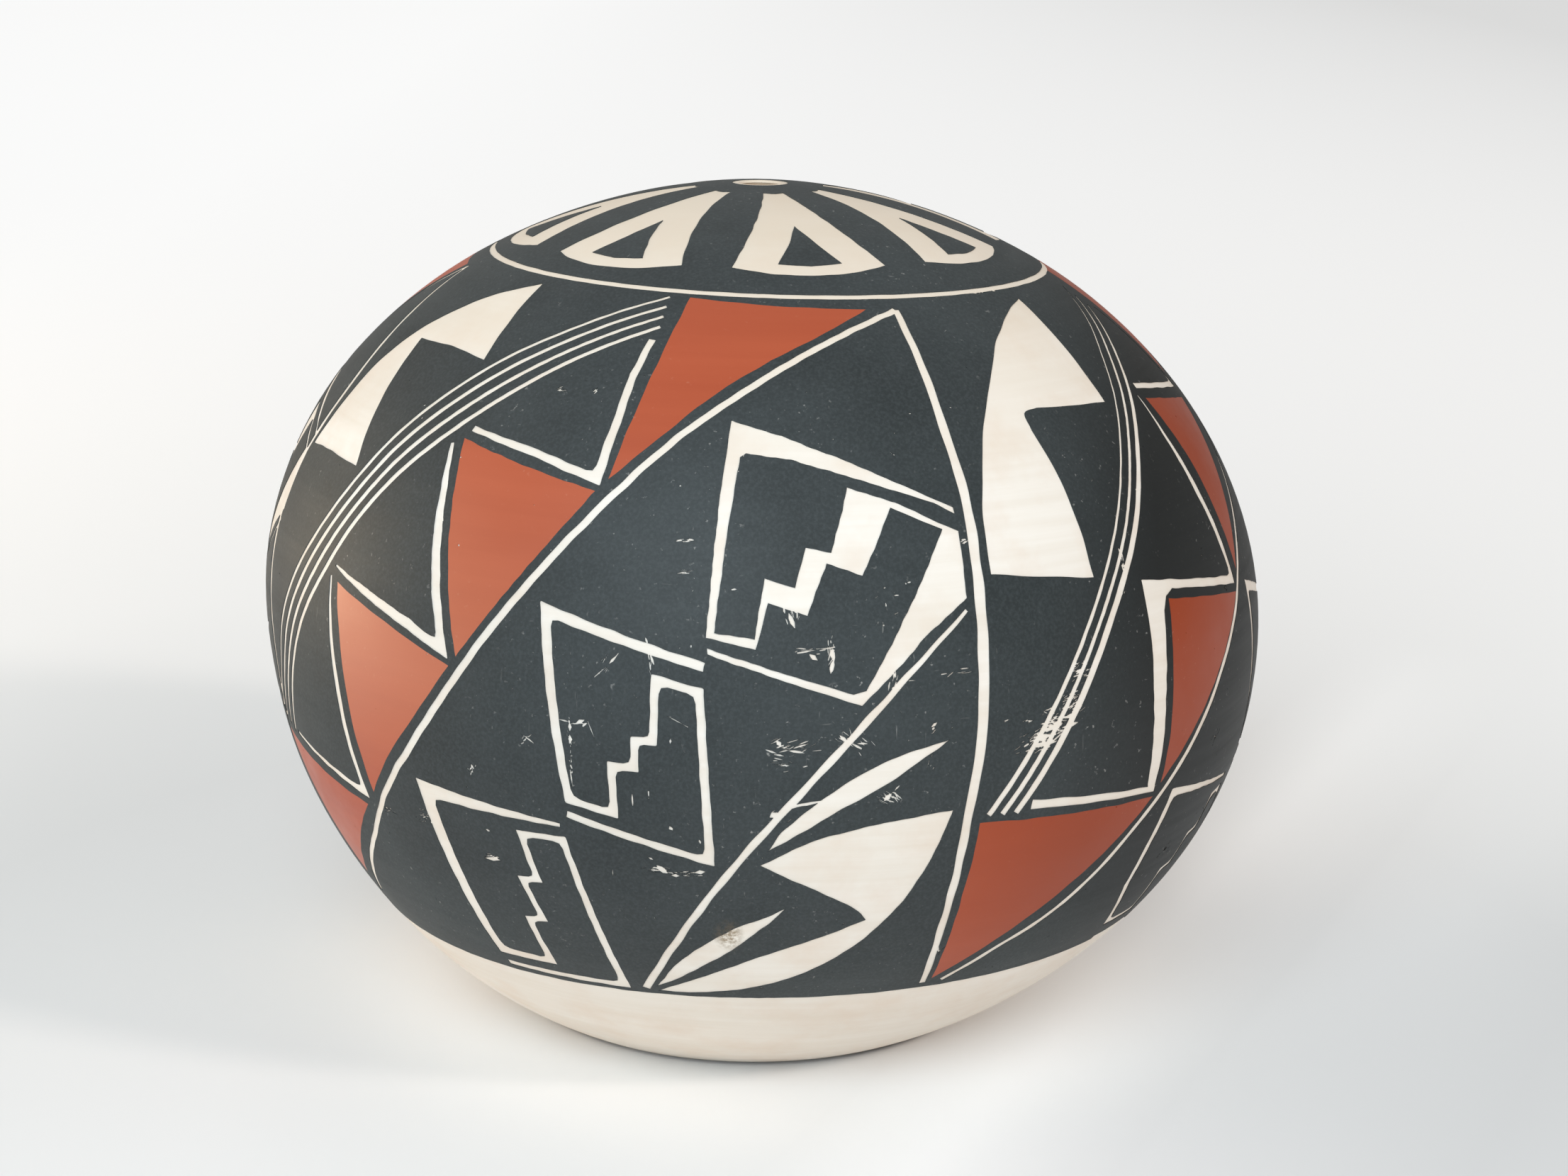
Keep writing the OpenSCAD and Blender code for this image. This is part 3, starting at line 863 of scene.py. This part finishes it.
# The design is laid out flat as a disc with the crown in its middle, so that it closes with no seam.
# Triangles fill it between the painted edges, and each takes the last mark that covers it.
CROWN_REACH = WALL_LENGTH + MOUTH_R
FILL_STEP = 3.0
FILL_STAGGER = 0.37
FILL_FROM = LOW_EDGE + 2.0
SAME_PLACE = 1e-5
PAINT_T = 0.14


def to_disc(chart):
    """Degrees and distance along the wall as a flat place, as far from the middle as from the crown."""
    turn = np.radians(chart[:, 0])
    reach = CROWN_REACH - chart[:, 1]
    return np.stack((reach * np.sin(turn), -reach * np.cos(turn)), axis=-1)


def from_disc(flat):
    """The degrees and the distance along the wall of a flat place."""
    return np.degrees(np.arctan2(flat[:, 0], -flat[:, 1])), CROWN_REACH - np.hypot(*flat.T)


def covered(places, outline):
    """Which places lie inside an outline, by the even-odd rule.

    A place is inside if a level line from it to the right crosses the outline an odd number of times.
    """
    found = np.zeros(len(places), bool)
    near = np.flatnonzero(((places > outline.min(0)) & (places < outline.max(0))).all(axis=1))
    x, y = places[near, 0, None], places[near, 1, None]
    start, end = outline, np.roll(outline, -1, axis=0)
    spans = (start[:, 1] > y) != (end[:, 1] > y)
    rise = np.where(start[:, 1] == end[:, 1], 1.0, end[:, 1] - start[:, 1])
    meets = start[:, 0] + (y - start[:, 1]) * (end[:, 0] - start[:, 0]) / rise
    found[near] = (spans & (x < meets)).sum(axis=1) % 2 == 1
    return found


outlines = [(colour, to_disc(mark)) for colour, mark in marks]
starts = np.cumsum([0, *[len(outline) for _, outline in outlines]])
disc_edges = np.concatenate([
    np.stack((np.arange(len(outline)), np.roll(np.arange(len(outline)), -1)), axis=-1) + start
    for (_, outline), start in zip(outlines, starts)
])
fill_rows = [
    np.stack(
        (np.linspace(0.0, 360.0, count, endpoint=False) + FILL_STAGGER * row, np.full(count, along)), axis=-1
    )
    for row, along in enumerate(np.arange(FILL_FROM, WALL_LENGTH - HOLE_RING, FILL_STEP))
    for count in [int(360.0 * degree_mm(along) / FILL_STEP)]
]
disc_places = np.concatenate([*[outline for _, outline in outlines], to_disc(np.concatenate(fill_rows))])
filled = delaunay_2d_cdt([Vector(p) for p in disc_places], disc_edges.tolist(), [], 0, SAME_PLACE)
disc_points = np.array([tuple(p) for p in filled[0]])
disc_faces = np.array(filled[2])
middles = disc_points[disc_faces].mean(axis=1)
face_paint = np.full(len(disc_faces), BARE)
for colour, outline in outlines:
    face_paint[covered(middles, outline)] = colour


def paint_film(name, colour):
    """A closed film over the faces of one colour: a top, an underside on the slip and a rim on free edges."""
    faces = disc_faces[face_paint == colour]
    used, faces = np.unique(faces, return_inverse=True)
    faces = faces.reshape(-1, 3)
    degrees, along = from_disc(disc_points[used])
    points = np.concatenate((on_pot(degrees, along, PAINT_T), on_pot(degrees, along, 0.0)))
    sides = np.concatenate((faces[:, [0, 1]], faces[:, [1, 2]], faces[:, [2, 0]]))
    _, first, count = np.unique(np.sort(sides, axis=1), axis=0, return_index=True, return_counts=True)
    free = sides[first[count == 1]]
    under = len(used)
    rim = np.concatenate((
        np.stack((free[:, 1], free[:, 0], free[:, 0] + under), axis=-1),
        np.stack((free[:, 1], free[:, 0] + under, free[:, 1] + under), axis=-1),
    ))
    return mesh_piece(name, points, np.concatenate((faces, faces[:, ::-1] + under, rim)))


# Rubbing: pale specks and hair scratches, in two directions, where the surface has been handled
HAIR_ONE = (1500.0, 1500.0, 120.0)
HAIR_ONE_TURN = (0.5, 0.3, 0.0)
HAIR_TWO = (110.0, 900.0, 1500.0)
HAIR_TWO_TURN = (0.0, 0.5, 0.9)
HAIR_SHARE = 0.6
rubbing, rubbing_in, rubbing_out, rubbing_place = group("rubbing", {"Amount": 0.5}, ("Mask", "Haze"))
hair_one = noise(rubbing, stretched(rubbing, rubbing_place, HAIR_ONE, HAIR_ONE_TURN), 1.0, detail=2.0)
hair_two = noise(rubbing, stretched(rubbing, rubbing_place, HAIR_TWO, HAIR_TWO_TURN), 1.0, detail=2.0)
speck = noise(rubbing, rubbing_place, scale=900.0, detail=3.0, roughness=0.6)
haze = noise(rubbing, rubbing_place, scale=34.0, detail=4.0, roughness=0.6)
hairs = sum_of(
    rubbing, "MAXIMUM",
    ramp(rubbing, hair_one, 0.71, 0.82, 0.0, HAIR_SHARE),
    ramp(rubbing, hair_two, 0.73, 0.84, 0.0, HAIR_SHARE),
)
rubbed = sum_of(rubbing, "MAXIMUM", hairs, ramp(rubbing, speck, 0.66, 0.74))
handled = ramp(rubbing, haze, 0.42, 0.66)
dress(rubbing, rubbing_out, Mask=product(rubbing, rubbed, handled, rubbing_in["Amount"]), Haze=haze)

# Black paint: an iron and plant paint, matt and a little blue, laid on with the brush and fired on the slip.
# The slip shows through where the paint is rubbed, and the paint is darkened on the right side as painted
# shade.
BLACK_DEEP = (0.0225, 0.0285, 0.0305, 1.0)
BLACK_DUSTY = (0.0375, 0.0465, 0.050, 1.0)
BLACK_GRAIN = (0.096, 0.115, 0.123, 1.0)
BLACK_GRAIN_SHARE = 0.32
BLACK_SHADE = (0.010, 0.011, 0.011, 1.0)
BLACK_SHADE_X = (0.05, 0.073)
BLACK_SHADE_SHARE = 0.92
BLACK_RUBBED = (0.42, 0.42, 0.41, 1.0)
black, black_tree, black_shader, black_place = material("black_paint")
black_wear = placed(black_tree, rubbing, Amount=0.6)
black_brush = placed(black_tree, streaks, Broad=0.5)
black_drip = placed(black_tree, stain, Amount=0.22)
black_even = blend(black_tree, ramp(black_tree, black_wear["Haze"], 0.3, 0.7), BLACK_DEEP, BLACK_DUSTY)
black_grain = noise(black_tree, black_place, scale=1700.0, detail=4.0, roughness=0.6)
black_grains = ramp(black_tree, black_grain, 0.42, 0.80, 0.0, BLACK_GRAIN_SHARE)
black_grained = blend(black_tree, black_grains, black_even, BLACK_GRAIN)
# Painted shade: the paint turns darker towards the right side of the pot
black_right_shade = ramp(black_tree, axes(black_tree, black_place)["X"], *BLACK_SHADE_X, 0.0, BLACK_SHADE_SHARE)
black_right_shaded = blend(black_tree, black_right_shade, black_grained, BLACK_SHADE)
black_stained = blend(black_tree, black_drip["Mask"], black_right_shaded, STAIN_BROWN)
dress(
    black_tree, black_shader, Specular_IOR_Level=0.34,
    Base_Color=blend(black_tree, black_wear["Mask"], black_stained, BLACK_RUBBED),
    Roughness=ramp(black_tree, black_brush["Streak"], 0.3, 0.7, 0.5, 0.62),
    Normal=relief(black_tree, black_brush["Streak"], strength=0.2, distance=0.0002),
)
black_design = paint_film("black_design", BLACK)
black_design.data.materials.append(black)
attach(black_design, "root")
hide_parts("black_paint")

# Red paint: a clay rich in iron, laid thick in the teeth and rubbed with a stone to a soft shine.
# The teeth carry a painted sheen half-way up the left side and painted shade on the right.
RED_DEEP = (0.385, 0.065, 0.021, 1.0)
RED_WARM = (0.455, 0.088, 0.032, 1.0)
RED_SHADE = (0.302, 0.041, 0.005, 1.0)
RED_SHADE_X = (0.02, 0.06)
RED_SHEEN = (0.80, 0.38, 0.25, 1.0)
RED_SHEEN_X = (-0.015, -0.085)
RED_SHEEN_LOW_Z = (0.06, 0.088)
RED_SHEEN_HIGH_Z = (0.135, 0.095)
RED_SHEEN_SHARE = 0.44
RED_RUBBED = (0.62, 0.36, 0.25, 1.0)
red, red_tree, red_shader, red_place = material("red_paint")
red_wear = placed(red_tree, rubbing, Amount=0.35)
red_brush = placed(red_tree, streaks, Broad=0.7)
red_way = axes(red_tree, red_place)
red_brushed = blend(red_tree, ramp(red_tree, red_brush["Streak"], 0.3, 0.7), RED_DEEP, RED_WARM)
# Painted shade: the teeth turn darker towards the right side of the pot
red_right_shaded = blend(red_tree, ramp(red_tree, red_way["X"], *RED_SHADE_X), red_brushed, RED_SHADE)
# Painted sheen: the teeth turn paler half-way up the left side
red_sheen = product(
    red_tree,
    ramp(red_tree, red_way["X"], *RED_SHEEN_X),
    ramp(red_tree, red_way["Z"], *RED_SHEEN_LOW_Z),
    ramp(red_tree, red_way["Z"], *RED_SHEEN_HIGH_Z),
    RED_SHEEN_SHARE,
)
red_shaded_and_sheened = blend(red_tree, red_sheen, red_right_shaded, RED_SHEEN)
dress(
    red_tree, red_shader, Specular_IOR_Level=0.45,
    Base_Color=blend(red_tree, red_wear["Mask"], red_shaded_and_sheened, RED_RUBBED),
    Roughness=ramp(red_tree, red_brush["Patch"], 0.3, 0.7, 0.32, 0.44),
    Normal=relief(red_tree, red_brush["Streak"], strength=0.2, distance=0.0002),
)
red_design = paint_film("red_design", RED)
red_design.data.materials.append(red)
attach(red_design, "root")

# Stage: a pale table that runs out of sight behind the pot, a cool soft lamp in front, a warm panel at the
# left, and a small far lamp at the right that draws the pot's shadow out to the left. The room is darker
# to the right.
FLOOR_HALF = 12.0
FLOOR_PALE = (0.878, 0.90, 0.925, 1.0)
# The table's painted shade colour, further out from the pot
FLOOR_SHADED = (0.755, 0.774, 0.795, 1.0)
BOUNCE_NEAR = (0.90, 0.86, 0.82, 1.0)
BOUNCE_FAR = (0.40, 0.39, 0.38, 1.0)
BOUNCE_FROM = 0.14
BOUNCE_TO = 0.42
BESIDE_POT = (0.34, 0.18)
BESIDE_SLANT = 0.5
SHADE_RIGHT = (0.117, 0.178)
SHADE_LEFT_X = (-0.10, -0.18)
SHADE_LEFT_SHARE = 0.5
PAINTED_LIGHT = 0.13
PAINTED_LIGHT_OUTSIDE = (0.113, 0.075)
PAINTED_LIGHT_INSIDE = (0.05, 0.08)
GLOW_FROM = 0.18
GLOW_REACH = 0.58
GLOW_LEFT = 0.47
GLOW_LEFT_X = -0.4
GLOW_RIGHT = 0.235
GLOW_RIGHT_X = 1.2
ROOM_PALE = (1.0, 0.98, 0.945, 1.0)
ROOM_LEFT = 0.54
ROOM_RIGHT = 0.15
ROOM_TOP = 0.28
ROOM_SEEN_LEFT = 0.93
ROOM_SEEN_RIGHT = 0.74
LAMP_AIM = Vector((0.0, 0.0, 0.08))

floor_mesh = bpy.data.meshes.new("floor")
floor_corners = [(x * FLOOR_HALF, y * FLOOR_HALF, 0.0) for x, y in ((-1, -1), (1, -1), (1, 1), (-1, 1))]
floor_mesh.from_pydata(floor_corners, [], [(0, 1, 2, 3)])
floor = bpy.data.objects.new("floor", floor_mesh)
bpy.context.scene.collection.objects.link(floor)
table, table_tree, table_shader, table_place = material("pale_table")
table_rays = add(table_tree, "ShaderNodeLightPath")
table_way = axes(table_tree, table_place)
table_far = length_of(table_tree, table_place)

# Beside the pot the table gets a little painted light on the right, and painted shade further out on both
# sides. The slant is
# X less a share of Y, so that on the right these bands run back at an angle.
table_beside = ramp(table_tree, table_far, *BESIDE_POT)
table_back = sum_of(table_tree, "MULTIPLY", table_way["Y"], BESIDE_SLANT)
table_slant = sum_of(table_tree, "SUBTRACT", table_way["X"], table_back)
table_shade_sides = sum_of(
    table_tree, "MAXIMUM",
    ramp(table_tree, table_slant, *SHADE_RIGHT),
    ramp(table_tree, table_way["X"], *SHADE_LEFT_X, 0.0, SHADE_LEFT_SHARE),
)
# Painted shade on the table, further out on both sides of the pot
table_painted_shade = product(table_tree, table_shade_sides, table_beside)
# Painted light on the table beside the pot on the right
table_painted_light = product(
    table_tree,
    ramp(table_tree, table_slant, *PAINTED_LIGHT_OUTSIDE, 0.0, PAINTED_LIGHT),
    ramp(table_tree, table_slant, *PAINTED_LIGHT_INSIDE),
    table_beside,
)

# The table is seen as pale as it is, by the eye and in a shine, but sends the pot less light from further
# off. It glows a little with distance, where the lamps no longer reach, and less to the right.
table_mirrored = sum_of(table_tree, "MAXIMUM", table_rays["Is Glossy Ray"], table_rays["Is Transmission Ray"])
table_seen = sum_of(table_tree, "MAXIMUM", table_rays["Is Camera Ray"], table_mirrored)
table_bounce = blend(table_tree, ramp(table_tree, table_far, BOUNCE_FROM, BOUNCE_TO), BOUNCE_NEAR, BOUNCE_FAR)
table_pale_shaded = blend(table_tree, table_painted_shade, FLOOR_PALE, FLOOR_SHADED)
table_reach = sum_of(table_tree, "SUBTRACT", GLOW_FROM, table_far)
table_near = sum_of(table_tree, "EXPONENT", sum_of(table_tree, "DIVIDE", table_reach, GLOW_REACH))
table_glow = product(
    table_tree,
    ramp(table_tree, table_near, 1.0, 0.0),
    ramp(table_tree, table_way["X"], GLOW_LEFT_X, GLOW_RIGHT_X, GLOW_LEFT, GLOW_RIGHT),
)
table_glow_and_light = sum_of(table_tree, "ADD", table_glow, table_painted_light)
dress(
    table_tree, table_shader, Roughness=0.85, Specular_IOR_Level=0.2, Emission_Color=(1.0, 1.0, 1.0, 1.0),
    Base_Color=blend(table_tree, table_seen, table_bounce, table_pale_shaded),
    Emission_Strength=product(table_tree, table_glow_and_light, table_rays["Is Camera Ray"]),
)
floor.data.materials.append(table)


def soft_lamp(name, place, size, power, colour, shines=True):
    """A square lamp in metres that faces the middle of the pot, and may leave no shine on it."""
    lamp = bpy.data.lights.new(name, "AREA")
    lamp.size = size
    lamp.energy = power
    lamp.color = colour
    holder = bpy.data.objects.new(name, lamp)
    holder.location = place
    holder.visible_glossy = shines
    aim = LAMP_AIM - Vector(place)
    holder.rotation_euler = aim.to_track_quat("-Z", "Y").to_euler()
    bpy.context.scene.collection.objects.link(holder)


soft_lamp("lamp_front", (-0.27, -1.08, 0.76), 0.75, 10.05, (0.80, 0.93, 1.0))
soft_lamp("panel_left", (-1.05, 0.28, 0.17), 0.5, 5.0, (1.0, 0.76, 0.50))
soft_lamp("lamp_right", (1.6, -1.0, 1.15), 0.25, 13.6, (1.0, 0.86, 0.75), shines=False)

room = bpy.data.worlds.new("pale_room")
room.use_nodes = True
room_tree = room.node_tree
room_way = axes(room_tree, add(room_tree, "ShaderNodeTexCoord")["Generated"])
room_lit = sum_of(
    room_tree, "ADD",
    ramp(room_tree, room_way["X"], -1.0, 1.0, ROOM_LEFT, ROOM_RIGHT),
    ramp(room_tree, room_way["Z"], 0.0, 1.0, 0.0, ROOM_TOP),
)
room_seen = ramp(room_tree, room_way["X"], -1.0, 1.0, ROOM_SEEN_LEFT, ROOM_SEEN_RIGHT)
room_eye = add(room_tree, "ShaderNodeLightPath")["Is Camera Ray"]
dress(
    room_tree, room_tree.nodes["Background"], Color=ROOM_PALE,
    Strength=between(room_tree, room_eye, room_lit, room_seen),
)
bpy.context.scene.world = room
bpy.context.scene.view_settings.view_transform = "Standard"
